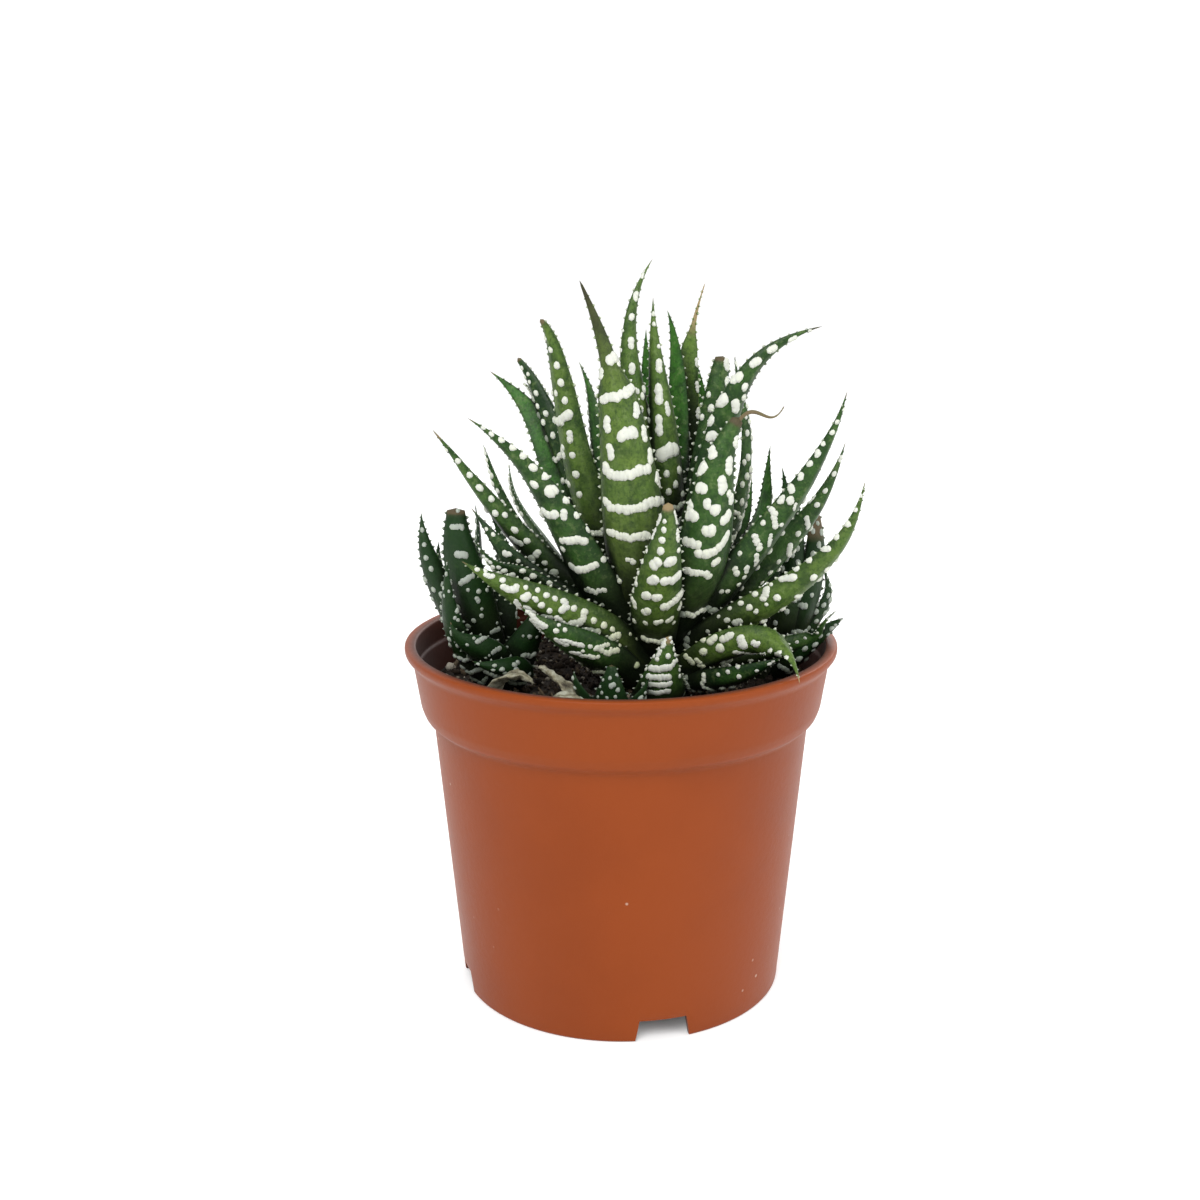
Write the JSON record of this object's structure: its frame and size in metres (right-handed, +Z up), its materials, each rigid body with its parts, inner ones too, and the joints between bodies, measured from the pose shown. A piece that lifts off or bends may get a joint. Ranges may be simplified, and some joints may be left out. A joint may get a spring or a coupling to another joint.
{
  "type": "potted haworthia",
  "caption": "Zebra haworthia, a rosette of pointed leaves with raised white bars and dots, with offsets, in a round tapered nursery pot filled with soil.",
  "frame": {"origin": "on the pot's axis, on the surface that its foot stands on", "axes": "+Z up along the pot's axis; -Y towards the viewer, +X to the right as the picture shows it"},
  "size_m": [0.0864, 0.085, 0.1443],
  "materials": {
    "pot": "terracotta coloured moulded plastic, satin with fine scuffs and specks",
    "soil": "dark peat with pale grit",
    "stem": "short brown stem with the remains of old leaves",
    "leaf": "thick green leaf skin with raised white bumps and small white teeth",
    "offset_leaf": "darker green leaf skin with raised white bumps",
    "dry_leaf": "shrivelled grey brown old leaf"
  },
  "bodies": {
    "root": {"pot": "pot", "soil": "soil", "stem": "stem", "leaf_01": "leaf", "leaf_02": "leaf", "leaf_03": "leaf", "leaf_04": "leaf", "leaf_05": "leaf", "leaf_06": "leaf", "leaf_07": "leaf", "leaf_08": "leaf", "leaf_09": "leaf", "leaf_10": "leaf", "leaf_11": "leaf", "leaf_12": "leaf", "leaf_13": "leaf", "leaf_14": "leaf", "leaf_15": "leaf", "leaf_16": "leaf", "leaf_17": "leaf", "leaf_18": "leaf", "leaf_19": "leaf", "leaf_20": "leaf", "leaf_21": "leaf", "leaf_22": "leaf", "leaf_23": "leaf", "leaf_24": "leaf", "leaf_25": "leaf", "leaf_26": "leaf", "leaf_27": "leaf", "leaf_28": "leaf", "leaf_29": "leaf", "leaf_30": "leaf", "leaf_31": "leaf", "leaf_32": "leaf", "leaf_33": "leaf", "leaf_34": "leaf", "leaf_35": "leaf", "leaf_36": "leaf", "leaf_37": "leaf", "leaf_38": "leaf", "leaf_39": "leaf", "leaf_40": "leaf", "leaf_41": "leaf", "leaf_42": "leaf", "leaf_43": "leaf", "offset_left": "offset_leaf", "offset_right": "offset_leaf", "offset_back": "offset_leaf", "offset_front": "offset_leaf", "dry_leaf_left": "dry_leaf", "dry_leaf_front": "dry_leaf", "dry_leaf_curled": "dry_leaf"}
  },
  "joints": []
}
